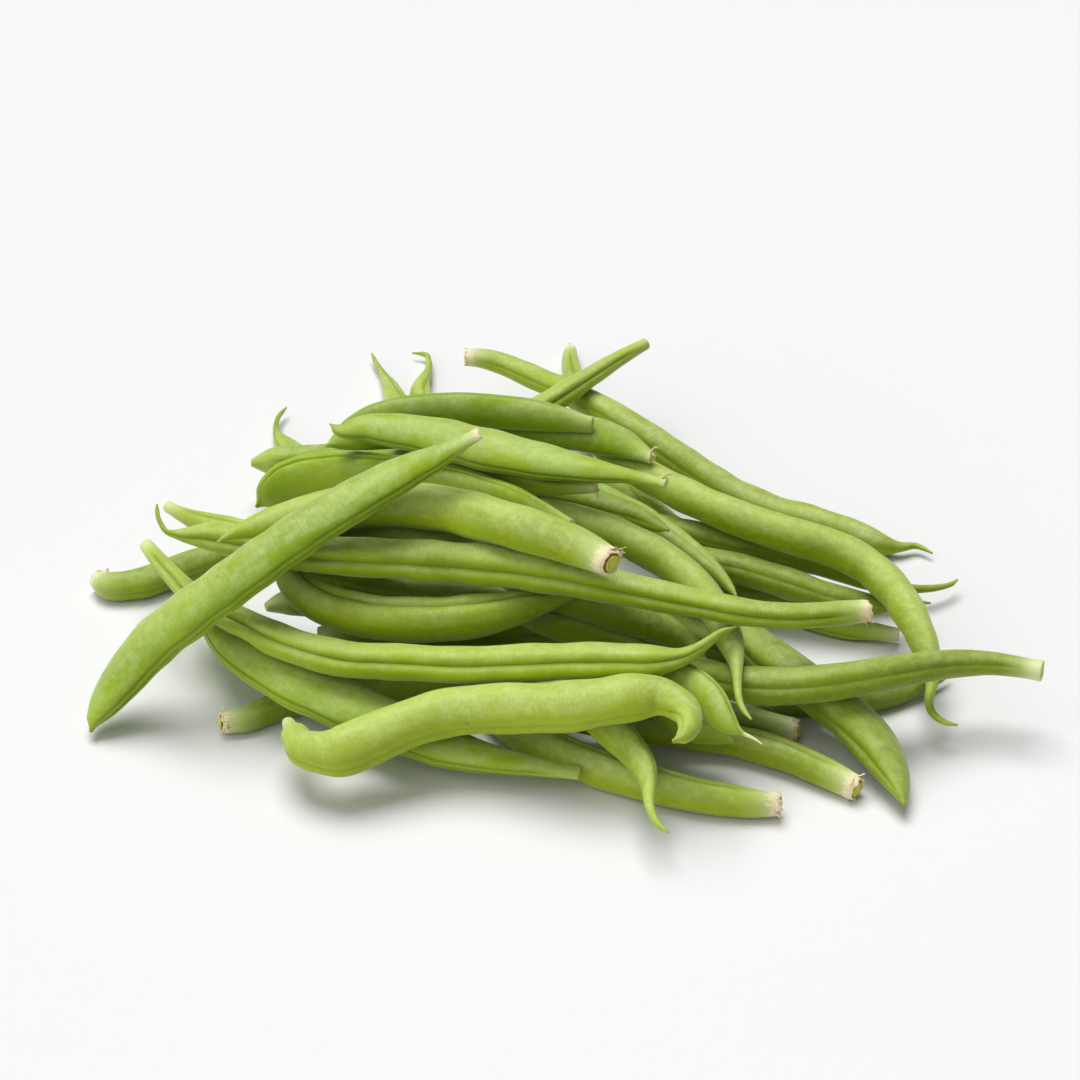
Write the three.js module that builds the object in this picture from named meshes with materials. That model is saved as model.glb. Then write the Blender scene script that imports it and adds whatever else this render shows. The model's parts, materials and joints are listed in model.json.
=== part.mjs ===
import * as THREE from 'three';

// Green bean heap: loose fresh pods lying across each other on a flat surface.
// Millimetres, +Z up. Each pod is one closed solid with a seam groove, seed swellings, a stem end and a tail.

// Layout view: each pod's route is given where it shows in the layout picture, as [across, down, width],
// the first two in picture points and the width in millimetres. The pods are laid one after another
// from the surface upward, each station staying on its line of sight, so the layout is kept.
const picture_centre = 540;
const focal_points = 3000;
const view_distance = 650;
const view_elevation = THREE.MathUtils.degToRad(32);

// Laying and section values
const gap = 0.34;
const station_step = 2.0;
const seed_spacing = 13;
const seed_swell = 0.03;
const groove_depth = 0.1;
const body_ring_step = 5.4;
const tail_ring_step = 2.2;
const end_ring_step = 2.6;
const end_run = 14;
const tail_width = 3.2;
const flat_contact = 0.6;
const drape_radius = 140;
const sag_radius = 160;
const max_slope = 0.6;
const high_cost = 0.3;

const section_angles = [0, 20, 70, 125, 180, 235, 290, 340];

const looks = {
  pod_light: 0x9fc155,
  pod_deep: 0x7fa63a,
  pod_flat: 0x8fbb5c,
};

// One row per pod, bottom of the heap first.
// seam: turn of the seam groove from facing the viewer, plus toward the picture's top, in degrees
// flat: thickness across the seam plane over depth in it
// drape: how tightly the pod bends down past its supports, as a radius in millimetres
const pods = [
  { name: 'pod_base_gap', look: 'pod_deep', seam: 30, flat: 0.9, route: [
    [318, 634, 2.8], [334, 634, 4.6], [370, 633, 6.2], [420, 632, 6.6], [470, 634, 6.8], [520, 638, 6.8],
    [568, 643, 6.4], [604, 647, 5.0], [624, 649, 3.0], [638, 652, 1.6], [650, 656, 1.0]] },
  { name: 'pod_base_mid', look: 'pod_deep', seam: -25, flat: 0.92, route: [
    [352, 596, 2.8], [368, 597, 4.6], [405, 597, 6.4], [455, 594, 6.8], [505, 590, 7.0], [555, 588, 7.0],
    [600, 590, 6.6], [640, 596, 5.2], [664, 601, 3.2], [678, 605, 1.6], [690, 609, 1.0]] },
  { name: 'pod_base_back', look: 'pod_deep', seam: 30, flat: 0.9, route: [
    [412, 547, 2.8], [426, 543, 4.6], [462, 534, 6.4], [510, 526, 6.8], [560, 522, 7.0], [606, 524, 6.6],
    [644, 529, 5.2], [666, 534, 3.2], [680, 539, 1.6], [692, 545, 1.0]] },
  { name: 'pod_base_right', look: 'pod_deep', seam: -24, flat: 0.9, route: [
    [800, 661, 2.6], [784, 657, 4.4], [752, 650, 6.2], [710, 641, 6.6], [668, 630, 6.6], [630, 618, 6.2],
    [600, 608, 4.8], [584, 602, 3.0], [574, 598, 1.6], [564, 593, 1.0]] },
  { name: 'pod_front_low', look: 'pod_deep', seam: 30, flat: 0.9, route: [
    [222, 722, 4.4], [233, 721, 5.0], [252, 716, 5.4], [282, 705, 5.8], [320, 694, 6.2], [360, 686, 6.6],
    [410, 681, 6.8], [455, 678, 6.4], [492, 676, 5.0], [514, 675, 3.0], [526, 674, 1.5], [536, 673, 1.0]] },
  { name: 'pod_left_low', look: 'pod_deep', seam: -40, flat: 0.9, route: [
    [98, 579, 4.0], [104, 583, 5.4], [118, 587, 6.2], [140, 583, 6.4], [170, 573, 6.4], [205, 561, 6.4],
    [245, 550, 6.4], [290, 540, 6.4], [340, 533, 6.4], [390, 529, 6.2], [440, 528, 5.4], [475, 529, 3.8],
    [500, 531, 2.0], [512, 534, 1.2], [522, 539, 0.9]] },
  { name: 'pod_front_cut', look: 'pod_light', seam: 60, flat: 0.9, route: [
    [779, 804, 4.2], [764, 804, 4.8], [742, 802, 5.8], [700, 796, 6.4], [650, 784, 7.0], [600, 769, 7.2],
    [560, 753, 7.2], [524, 736, 6.6], [500, 723, 5.0], [487, 715, 3.2], [478, 709, 1.7], [470, 703, 1.0]] },
  { name: 'pod_shaded_cut', look: 'pod_deep', seam: -30, flat: 0.9, route: [
    [797, 730, 4.4], [788, 729, 5.0], [768, 726, 5.4], [738, 720, 6.0], [700, 712, 6.2], [665, 705, 5.6],
    [644, 701, 4.2], [630, 698, 2.4], [618, 696, 1.2]] },
  { name: 'pod_right_cut', look: 'pod_light', seam: 45, flat: 0.92, route: [
    [857, 789, 4.6], [846, 783, 5.2], [822, 771, 5.8], [782, 754, 6.2], [740, 742, 6.2], [690, 734, 6.2],
    [640, 727, 6.2], [600, 723, 5.6], [572, 720, 4.4], [556, 719, 2.8], [546, 718, 1.5], [536, 718, 1.0]] },
  { name: 'pod_right_under', look: 'pod_deep', seam: -60, flat: 0.85, route: [
    [756, 694, 2.4], [768, 697, 4.2], [790, 700, 5.8], [824, 701, 6.3], [865, 697, 6.0], [902, 691, 4.6],
    [926, 685, 2.4], [940, 680, 1.2], [950, 674, 0.9]] },
  { name: 'pod_corner', look: 'pod_deep', seam: -35, flat: 0.8, route: [
    [716, 610, 2.4], [724, 618, 4.6], [742, 634, 7.2], [768, 656, 8.2], [802, 681, 8.6], [835, 706, 8.8],
    [863, 731, 8.8], [883, 757, 8.0], [895, 779, 5.6], [901, 793, 3.0], [904, 804, 1.6]] },
  { name: 'pod_right_stub', look: 'pod_light', seam: -50, flat: 0.88, route: [
    [899, 635, 2.7], [893, 634, 2.9], [878, 632, 3.6], [855, 628, 4.8], [822, 619, 5.8], [785, 606, 6.2],
    [750, 593, 6.2], [715, 579, 6.0], [694, 570, 4.4], [680, 564, 2.6], [671, 559, 1.4], [664, 554, 1.0]] },
  { name: 'pod_back_upright', look: 'pod_light', seam: 10, flat: 0.9, route: [
    [570, 351, 3.1], [570, 360, 4.0], [573, 376, 4.8], [580, 396, 5.4], [592, 422, 6.0], [606, 451, 6.4],
    [622, 480, 6.6], [641, 505, 6.6], [666, 525, 6.2], [696, 539, 5.0], [722, 545, 3.2], [738, 547, 1.6],
    [750, 547, 1.0]] },
  { name: 'pod_back_long', look: 'pod_light', seam: -20, flat: 0.92, route: [
    [466, 357, 3.7], [474, 357, 4.3], [500, 363, 5.0], [540, 380, 5.6], [580, 398, 6.0], [620, 420, 6.6],
    [660, 447, 7.2], [700, 474, 7.4], [740, 497, 7.0], [780, 512, 6.6], [820, 523, 6.4], [860, 537, 6.2],
    [885, 546, 4.6], [899, 547, 2.4], [912, 545, 1.5], [922, 548, 1.2], [932, 553, 0.9]] },
  { name: 'pod_right_tail', look: 'pod_deep', seam: -20, flat: 0.9, route: [
    [618, 512, 2.2], [640, 520, 4.0], [680, 531, 5.4], [720, 540, 5.8], [760, 549, 5.8], [800, 558, 5.6],
    [836, 568, 5.2], [866, 579, 4.4], [888, 586, 3.2], [908, 589, 2.1], [930, 588, 1.6], [946, 587, 1.2],
    [957, 580, 0.9]] },
  { name: 'pod_right_mid', look: 'pod_deep', seam: 0, flat: 0.9, route: [
    [640, 553, 2.4], [654, 555, 4.4], [676, 558, 6.0], [704, 562, 6.4], [740, 569, 6.4], [780, 581, 6.4],
    [820, 594, 6.0], [850, 602, 5.4], [876, 605, 4.2], [896, 604, 2.4], [914, 602, 1.3], [930, 603, 0.9]] },
  { name: 'pod_back_tail_left', look: 'pod_light', seam: -30, flat: 0.86, route: [
    [372, 354, 0.9], [376, 363, 1.2], [382, 372, 1.5], [387, 382, 2.8], [393, 395, 4.8], [397, 412, 6.2],
    [396, 432, 6.6], [392, 452, 6.2], [387, 468, 4.6], [384, 478, 2.9]] },
  { name: 'pod_back_tail_right', look: 'pod_light', seam: 30, flat: 0.86, route: [
    [413, 353, 0.9], [422, 352, 1.1], [428, 359, 1.4], [428, 370, 1.8], [423, 381, 3.2], [420, 394, 4.8],
    [428, 412, 5.8], [442, 434, 6.6], [459, 456, 6.8], [476, 476, 6.2], [490, 490, 4.6], [498, 499, 2.9]] },
  { name: 'pod_left_tail', look: 'pod_light', seam: -20, flat: 0.88, route: [
    [286, 408, 0.9], [279, 416, 1.1], [276, 427, 1.4], [279, 438, 2.6], [287, 448, 5.0], [298, 459, 6.2],
    [314, 473, 6.6], [332, 487, 6.4], [347, 498, 4.8], [356, 505, 3.0]] },
  { name: 'pod_nook', look: 'pod_deep', seam: 10, flat: 0.9, route: [
    [266, 607, 1.8], [274, 605, 3.8], [292, 602, 5.4], [330, 605, 6.0], [375, 611, 6.2], [425, 617, 6.4],
    [475, 621, 6.2], [520, 623, 5.2], [550, 623, 3.4], [568, 622, 1.7], [582, 619, 1.0]] },
  { name: 'pod_gap_low', look: 'pod_deep', seam: -10, flat: 0.9, route: [
    [262, 558, 2.4], [280, 563, 4.4], [310, 571, 6.0], [350, 579, 6.4], [395, 587, 6.4], [445, 594, 6.0],
    [495, 596, 5.0], [528, 599, 3.2], [545, 600, 1.6], [558, 599, 1.0]] },
  { name: 'pod_core_low', look: 'pod_deep', seam: 50, flat: 0.88, route: [
    [512, 612, 2.4], [526, 616, 4.4], [550, 622, 6.4], [583, 631, 7.0], [620, 642, 6.8], [655, 654, 6.2],
    [690, 667, 4.8], [712, 676, 2.8], [724, 682, 1.4], [734, 689, 0.9]] },
  { name: 'pod_core', look: 'pod_deep', seam: 70, flat: 0.86, route: [
    [500, 579, 2.2], [516, 584, 4.4], [545, 592, 6.4], [584, 603, 6.8], [625, 616, 7.0], [662, 629, 6.4],
    [686, 641, 4.6], [699, 652, 2.4], [706, 660, 1.2]] },
  { name: 'pod_left_stub', look: 'pod_light', seam: 40, flat: 0.9, route: [
    [168, 507, 2.3], [176, 511, 2.7], [188, 518, 3.6], [206, 524, 4.8], [232, 531, 5.6], [264, 538, 6.0],
    [300, 544, 6.2], [336, 548, 6.0], [366, 552, 5.0], [386, 556, 3.2], [397, 559, 1.6], [406, 563, 1.0]] },
  { name: 'pod_gap_high', look: 'pod_deep', seam: -20, flat: 0.9, route: [
    [316, 538, 2.2], [338, 539, 4.2], [370, 540, 5.8], [410, 542, 6.2], [455, 547, 6.4], [505, 555, 6.4],
    [555, 565, 6.0], [600, 577, 5.2], [636, 589, 3.8], [656, 597, 2.0], [668, 603, 1.1]] },
  { name: 'pod_right_inner', look: 'pod_light', seam: 30, flat: 0.88, route: [
    [520, 468, 2.4], [540, 475, 4.4], [576, 489, 6.0], [614, 506, 6.6], [652, 528, 6.6], [688, 552, 5.8],
    [714, 572, 4.0], [728, 585, 2.0], [736, 596, 1.1]] },
  { name: 'pod_right_arch', look: 'pod_light', seam: -100, flat: 0.94, route: [
    [596, 448, 2.8], [612, 457, 5.0], [640, 472, 6.6], [680, 493, 7.2], [720, 511, 7.4], [760, 526, 7.6],
    [800, 538, 7.6], [838, 550, 7.6], [870, 568, 7.6], [895, 592, 7.4], [913, 620, 6.8], [925, 647, 5.6],
    [932, 668, 3.8], [932, 684, 2.4], [929, 700, 1.8], [933, 714, 1.5], [944, 722, 1.2], [957, 725, 0.9]] },
  { name: 'pod_right_reach', look: 'pod_deep', seam: -8, flat: 0.92, route: [
    [1042, 671, 3.9], [1035, 670, 4.1], [1014, 666, 4.1], [984, 663, 4.8], [940, 665, 5.8], [890, 673, 6.6],
    [840, 681, 7.0], [790, 686, 7.3], [740, 684, 7.2], [704, 675, 6.2], [668, 663, 5.4], [640, 655, 3.6],
    [622, 650, 1.8], [610, 647, 1.0]] },
  { name: 'pod_left_round', look: 'pod_flat', seam: -10, flat: 0.85, route: [
    [251, 463, 1.4], [256, 462, 3.6], [264, 462, 5.2], [284, 461, 6.4], [320, 459, 6.6], [360, 458, 6.2], [400, 458, 5.2],
    [432, 460, 3.4], [448, 463, 1.7], [458, 467, 1.0]] },
  { name: 'pod_back_cross', look: 'pod_light', seam: -10, flat: 0.9, route: [
    [645, 344, 2.6], [636, 349, 3.0], [615, 361, 3.8], [590, 377, 4.6], [565, 393, 5.3], [540, 409, 6.0],
    [514, 426, 6.4], [488, 443, 6.4], [464, 458, 5.8], [446, 469, 4.2], [434, 476, 2.4], [426, 482, 1.4],
    [418, 487, 1.0]] },
  { name: 'pod_gap_top', look: 'pod_deep', seam: -15, flat: 0.9, route: [
    [462, 492, 2.2], [480, 493, 4.4], [515, 495, 6.2], [555, 498, 6.4], [595, 505, 6.2], [632, 515, 5.0],
    [655, 524, 3.0], [668, 530, 1.4]] },
  { name: 'pod_right_hook', look: 'pod_light', seam: -120, flat: 0.92, route: [
    [522, 505, 2.2], [536, 508, 4.4], [560, 516, 6.4], [592, 526, 7.2], [630, 541, 7.2], [668, 562, 7.2],
    [698, 588, 7.0], [717, 614, 6.4], [729, 638, 5.6], [735, 657, 3.6], [737, 675, 2.0], [738, 692, 1.5],
    [742, 708, 1.2], [751, 719, 0.9]] },
  { name: 'pod_top_short', look: 'pod_light', seam: 40, flat: 0.8, route: [
    [596, 487, 2.4], [582, 488, 2.4], [552, 487, 3.6], [520, 482, 5.6], [480, 474, 6.8], [440, 466, 6.4],
    [405, 460, 4.8], [384, 456, 2.6], [372, 452, 1.2]] },
  { name: 'pod_top_arc', look: 'pod_flat', seam: 50, flat: 0.66, route: [
    [257, 506, 1.8], [266, 497, 6.0], [286, 484, 9.4], [320, 476, 10.2], [360, 475, 10.0], [400, 478, 9.6],
    [440, 484, 8.8], [480, 492, 7.6], [520, 504, 6.0], [550, 516, 4.0], [572, 526, 2.4]] },
  { name: 'pod_top_back', look: 'pod_flat', seam: -70, flat: 0.66, route: [
    [326, 446, 1.2], [344, 440, 4.6], [380, 434, 6.8], [420, 429, 7.6], [470, 426, 8.0], [520, 426, 8.2],
    [570, 431, 8.2], [608, 439, 7.4], [634, 449, 5.2], [646, 456, 3.0], [652, 459, 2.2]] },
  { name: 'pod_top_dark', look: 'pod_flat', seam: 80, flat: 0.66, route: [
    [336, 433, 1.2], [360, 421, 4.6], [400, 413, 6.8], [450, 410, 7.4], [500, 412, 7.4], [540, 416, 6.4],
    [570, 421, 4.8], [586, 424, 3.6], [592, 425, 3.2]] },
  { name: 'pod_top_long', look: 'pod_flat', seam: -48, flat: 0.66, route: [
    [330, 424, 0.9], [338, 430, 2.4], [364, 428, 5.6], [400, 431, 7.4], [440, 438, 8.4], [480, 448, 8.8],
    [520, 457, 8.2], [560, 465, 6.8], [600, 472, 4.6], [634, 477, 2.8], [654, 481, 2.3], [666, 483, 2.3]] },
  { name: 'pod_curved', look: 'pod_light', seam: 44, flat: 0.94, route: [
    [282, 556, 2.6], [286, 566, 4.8], [294, 582, 6.6], [311, 598, 7.6], [338, 609, 8.2], [372, 617, 8.6],
    [410, 620, 8.8], [450, 619, 8.8], [490, 614, 8.0], [524, 606, 6.4], [550, 600, 4.2], [570, 596, 2.0],
    [580, 594, 1.1]] },
  { name: 'pod_broad', look: 'pod_flat', seam: -46, flat: 0.62, route: [
    [204, 594, 1.2], [214, 614, 5.4], [232, 639, 9.0], [262, 662, 10.0], [300, 685, 10.2], [340, 703, 10.0],
    [380, 720, 9.6], [420, 738, 8.8], [455, 750, 7.6], [490, 759, 5.8], [520, 764, 4.4], [550, 769, 3.2],
    [570, 772, 2.6], [579, 773, 2.5]] },
  { name: 'pod_small_curl', look: 'pod_light', seam: 60, flat: 0.88, route: [
    [612, 690, 2.2], [628, 690, 4.4], [650, 696, 6.2], [668, 709, 6.8], [688, 724, 6.4], [708, 732, 5.0],
    [724, 737, 2.8], [733, 742, 1.4]] },
  { name: 'pod_hanging_tail', look: 'pod_light', seam: 70, flat: 0.84, route: [
    [500, 660, 2.2], [518, 666, 4.4], [548, 680, 6.6], [578, 700, 7.2], [602, 721, 7.0], [622, 740, 6.4],
    [637, 757, 5.8], [646, 774, 4.4], [649, 788, 2.8], [649, 803, 2.0], [654, 818, 1.5], [662, 828, 1.2],
    [668, 832, 0.9]] },
  { name: 'pod_papery_tail', look: 'pod_flat', seam: 70, flat: 0.7, route: [
    [566, 664, 2.2], [588, 666, 4.4], [622, 668, 6.6], [656, 673, 7.6], [686, 684, 7.8], [708, 700, 7.2],
    [722, 716, 5.4], [733, 728, 3.0], [743, 733, 1.4], [753, 738, 1.1], [762, 744, 0.9]] },
  { name: 'pod_long_upper', look: 'pod_light', seam: -15, flat: 0.9, route: [
    [868, 611, 4.2], [840, 613, 5.0], [800, 616, 4.9], [750, 613, 5.4], [700, 604, 5.8], [640, 592, 6.4],
    [580, 579, 7.6], [520, 569, 8.1], [460, 563, 8.2], [400, 559, 8.0], [340, 556, 7.6], [290, 551, 7.2],
    [245, 542, 6.6], [215, 537, 6.2], [195, 534, 4.8], [182, 535, 2.6], [172, 535, 1.4], [163, 527, 1.1],
    [158, 517, 1.0], [157, 505, 0.9]] },
  { name: 'pod_long_lower', look: 'pod_light', seam: -5, flat: 0.92, route: [
    [147, 546, 2.8], [155, 556, 3.4], [172, 575, 4.0], [192, 595, 4.6], [220, 612, 5.2], [250, 626, 6.0],
    [280, 641, 6.8], [310, 651, 7.0], [345, 659, 7.0], [400, 662, 7.0], [460, 665, 7.1], [520, 663, 7.2],
    [580, 661, 7.0], [630, 661, 6.8], [660, 661, 5.6], [682, 657, 3.6], [700, 648, 2.4], [715, 637, 1.8],
    [728, 629, 1.3], [736, 627, 0.9]] },
  { name: 'pod_front_thick', look: 'pod_light', seam: -52, flat: 0.94, drape: 55, route: [
    [288, 722, 2.2], [291, 728, 2.8], [299, 741, 5.2], [313, 752, 8.2], [333, 753, 9.4], [362, 743, 9.6],
    [400, 727, 9.2], [440, 714, 9.2], [480, 709, 9.4], [520, 708, 9.6], [560, 707, 9.6], [600, 702, 9.2],
    [634, 697, 8.6], [658, 696, 7.6], [677, 703, 6.4], [688, 715, 5.4], [689, 728, 4.2], [682, 737, 2.8],
    [674, 741, 1.6]] },
  { name: 'pod_cut_face', look: 'pod_light', seam: 110, flat: 0.94, route: [
    [611, 563, 5.2], [603, 559, 6.0], [588, 551, 7.2], [558, 540, 8.2], [520, 528, 8.8], [480, 517, 9.0],
    [440, 508, 9.0], [400, 505, 8.8], [350, 506, 8.2], [304, 514, 7.0], [266, 524, 5.4], [242, 531, 3.4],
    [228, 536, 1.6], [218, 542, 1.0]] },
  { name: 'pod_top_diagonal', look: 'pod_flat', seam: -40, flat: 0.68, route: [
    [480, 433, 2.3], [466, 441, 2.8], [440, 456, 4.6], [402, 474, 7.0], [360, 497, 8.2], [300, 534, 8.8],
    [240, 577, 9.2], [195, 610, 9.5], [155, 642, 9.4], [122, 680, 8.2], [102, 708, 5.6], [94, 722, 3.0],
    [91, 731, 1.4]] },
];

// View frame of the layout picture
const eye = new THREE.Vector3(0, -Math.cos(view_elevation), Math.sin(view_elevation)).multiplyScalar(view_distance);
const forward = new THREE.Vector3(0, Math.cos(view_elevation), -Math.sin(view_elevation));
const picture_up = new THREE.Vector3(0, Math.sin(view_elevation), Math.cos(view_elevation));
const picture_right = new THREE.Vector3(1, 0, 0);

function sightLine(u, v) {
  return forward.clone().multiplyScalar(focal_points)
    .addScaledVector(picture_right, u - picture_centre)
    .addScaledVector(picture_up, picture_centre - v)
    .normalize();
}

function onSight(dir, z) {
  return eye.clone().addScaledVector(dir, (z - eye.z) / dir.z);
}

// Evenly spaced stations along a pod's route, with the sight line and width of each
function stationsOf(pod) {
  const points = pod.route.map(([u, v, w]) => new THREE.Vector3(u, v, w * 8));
  const curve = new THREE.CatmullRomCurve3(points, false, 'centripetal');
  curve.arcLengthDivisions = 600;
  const fine = curve.getPoints(600);
  const places = fine.map((p) => onSight(sightLine(p.x, p.y), 8));
  const along = [0];
  for (let i = 1; i < places.length; i += 1) {
    along.push(along[i - 1] + places[i].distanceTo(places[i - 1]));
  }
  const length = along[along.length - 1];
  const count = Math.round(length / station_step);
  const stations = [];
  let k = 0;
  for (let i = 0; i <= count; i += 1) {
    const s = (length * i) / count;
    while (k < along.length - 2 && along[k + 1] < s) {
      k += 1;
    }
    const f = (s - along[k]) / (along[k + 1] - along[k]);
    const p = fine[k].clone().lerp(fine[k + 1], f);
    stations.push({ s, dir: sightLine(p.x, p.y), width: p.z / 8, z: 8 });
  }
  return { stations, length };
}

function seedSwell(s, length, width) {
  const inside = THREE.MathUtils.smoothstep(Math.min(s, length - s), 8, 20);
  const full = THREE.MathUtils.smoothstep(width, 3.5, 5.5);
  return 1 + seed_swell * inside * full * Math.cos((2 * Math.PI * (s - length / 2)) / seed_spacing);
}

// Position, direction and section axes of each station at its present height
function setFrames(pod, stations, length) {
  const turn = THREE.MathUtils.degToRad(pod.seam);
  const places = stations.map((st) => onSight(st.dir, st.z));
  let lean = 0;
  stations.forEach((st, i) => {
    const before = places[Math.max(i - 1, 0)];
    const after = places[Math.min(i + 1, places.length - 1)];
    st.p = places[i];
    st.t = after.clone().sub(before).normalize();
    const toward = st.dir.clone().negate();
    st.face = toward.addScaledVector(st.t, -toward.dot(st.t)).normalize();
    st.side = new THREE.Vector3().crossVectors(st.t, st.face);
    lean += st.side.dot(picture_up) * st.width;
  });
  const sign = lean < 0 ? -1 : 1;
  stations.forEach((st) => {
    const side = st.side.clone().multiplyScalar(sign);
    st.n = st.face.clone().multiplyScalar(Math.cos(turn)).addScaledVector(side, Math.sin(turn));
    st.b = new THREE.Vector3().crossVectors(st.t, st.n);
    const shown = Math.hypot(Math.sin(turn), pod.flat * Math.cos(turn));
    const swell = seedSwell(st.s, length, st.width);
    st.depth = (st.width / 2 / shown) * swell;
    st.half = st.depth * pod.flat;
  });
}

function reach(st, d) {
  return Math.hypot(st.depth * d.dot(st.n), st.half * d.dot(st.b), 0.55 * station_step * d.dot(st.t));
}

const down = new THREE.Vector3(0, 0, -1);

// Lowest clear height on a station's sight line above everything laid so far
function lowestClear(st, laid) {
  let z = reach(st, down);
  const near = onSight(st.dir, 8);
  for (const other of laid) {
    const rel = other.p.clone().sub(near);
    const t = rel.dot(st.dir);
    const miss2 = rel.lengthSq() - t * t;
    const most = st.depth + other.depth + gap + 0.4;
    if (miss2 > most * most) {
      continue;
    }
    const atClosest = near.z + t * st.dir.z;
    const clear = (h) => {
      const d = onSight(st.dir, h).sub(other.p);
      const dist = d.length();
      d.divideScalar(dist);
      return dist >= reach(st, d) + reach(other, d) + gap;
    };
    let low = atClosest;
    if (clear(low)) {
      continue;
    }
    let high = atClosest + most * 1.2;
    if (low < z && clear(z) && z > low) {
      continue;
    }
    for (let i = 0; i < 12; i += 1) {
      const mid = (low + high) / 2;
      if (clear(mid)) {
        high = mid;
      } else {
        low = mid;
      }
    }
    z = Math.max(z, high);
  }
  return z;
}

// Highest of the supports' parabolas at each station: sense 1 bends down past a support, -1 fills a valley
function envelope(stations, heights, radius, slope, sense) {
  return stations.map((st) => {
    let z = -Infinity;
    stations.forEach((other, k) => {
      const run = st.s - other.s;
      z = Math.max(z, sense * heights[k] + sense * slope * run - run ** 2 / (2 * radius));
    });
    return sense * z;
  });
}

// Height profile of a pod over its supports: it tips to lie low, bends down past them and sags between them
function restProfile(stations, floorOf, drape) {
  let best = null;
  for (let slope = -max_slope; slope <= max_slope; slope += 0.02) {
    const hang = envelope(stations, floorOf, drape, slope, 1);
    const lifted = envelope(stations, hang, sag_radius, slope, 1);
    const heights = envelope(stations, lifted, sag_radius, slope, -1);
    let mass = 0;
    let mean = 0;
    stations.forEach((st, k) => {
      mass += st.width ** 2;
      mean += heights[k] * st.width ** 2;
    });
    const cost = mean / mass + high_cost * Math.max(...heights);
    if (!best || cost < best.cost) {
      best = { cost, heights };
    }
  }
  return best.heights;
}

function lay(pod, laid) {
  const { stations, length } = stationsOf(pod);
  for (let round = 0; round < 4; round += 1) {
    setFrames(pod, stations, length);
    const floorOf = stations.map((st) => lowestClear(st, laid));
    const heights = restProfile(stations, floorOf, pod.drape ?? drape_radius);
    stations.forEach((st, i) => {
      st.z = heights[i];
    });
  }
  setFrames(pod, stations, length);
  let lift = 0;
  stations.forEach((st) => {
    lift = Math.max(lift, lowestClear(st, laid) - st.z);
  });
  stations.forEach((st) => {
    st.z += lift;
  });
  setFrames(pod, stations, length);
  return { stations, length };
}

// Stations that carry a ring: half a seed apart on the body, closer on the tails and at the ends
function ringStations(stations, length) {
  const picked = [0];
  let last = 0;
  for (let i = 1; i < stations.length - 1; i += 1) {
    const st = stations[i];
    const inward = Math.min(Math.min(st.s, length - st.s) / end_run, 1);
    const body_step = THREE.MathUtils.lerp(end_ring_step, body_ring_step, inward);
    const step = st.width < tail_width ? tail_ring_step : body_step;
    const rest = length - st.s;
    if (st.s - stations[last].s >= step && rest >= 1.4) {
      picked.push(i);
      last = i;
    }
  }
  picked.push(stations.length - 1);
  return picked.map((i) => stations[i]);
}

function ringPoints(st) {
  return section_angles.map((deg) => {
    const angle = THREE.MathUtils.degToRad(deg);
    const inset = deg === 0 ? 1 - groove_depth : 1;
    return st.p.clone()
      .addScaledVector(st.n, st.depth * inset * Math.cos(angle))
      .addScaledVector(st.b, st.half * Math.sin(angle));
  });
}

function endPoint(st, outward) {
  const out = st.width > 1.9 ? 0.12 : 0.45 * st.width;
  return st.p.clone().addScaledVector(st.t, outward * out);
}

function buildPod(pod, laid) {
  const { stations, length } = lay(pod, laid);
  const rings = ringStations(stations, length);
  const sides = section_angles.length;
  const points = [];
  for (const st of rings) {
    points.push(...ringPoints(st));
  }
  points.push(endPoint(rings[0], -1), endPoint(rings[rings.length - 1], 1));
  for (const p of points) {
    if (p.z < flat_contact) {
      p.z = 0;
    }
  }
  const faces = [];
  for (let r = 0; r < rings.length - 1; r += 1) {
    for (let i = 0; i < sides; i += 1) {
      const j = (i + 1) % sides;
      const a = r * sides + i;
      const b = r * sides + j;
      const c = (r + 1) * sides + j;
      const d = (r + 1) * sides + i;
      faces.push([a, b, c], [a, c, d]);
    }
  }
  const first = rings.length * sides;
  const top = (rings.length - 1) * sides;
  for (let i = 0; i < sides; i += 1) {
    const j = (i + 1) % sides;
    faces.push([first, j, i], [first + 1, top + i, top + j]);
  }
  laid.push(...stations);
  return { points, faces, length, stations };
}

const laid = [];
const built = pods.map((pod) => ({ pod, ...buildPod(pod, laid) }));

const box = new THREE.Box3();
for (const b of built) {
  b.points.forEach((p) => box.expandByPoint(p));
}
const middle = box.getCenter(new THREE.Vector3());

const group = new THREE.Group();
for (const b of built) {
  const position = [];
  for (const face of b.faces) {
    for (const k of face) {
      const p = b.points[k];
      position.push(p.x - middle.x, p.y - middle.y, p.z);
    }
  }
  const geometry = new THREE.BufferGeometry();
  geometry.setAttribute('position', new THREE.Float32BufferAttribute(position, 3));
  geometry.computeVertexNormals();
  const material = new THREE.MeshStandardMaterial({ color: looks[b.pod.look], roughness: 0.5 });
  material.name = b.pod.look;
  const mesh = new THREE.Mesh(geometry, material);
  mesh.name = b.pod.name;
  group.add(mesh);
}

export default group;
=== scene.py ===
"""A heap of fresh green beans, each dressed around its CAD node.

The sections of a node are read back, and a fine skin is laid on them, with a seam, swellings over the seeds, a
stem end and a tail. Lengths of a pod are millimetres until its mesh is made.
"""

import json
import math
import zlib
from types import SimpleNamespace

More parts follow.
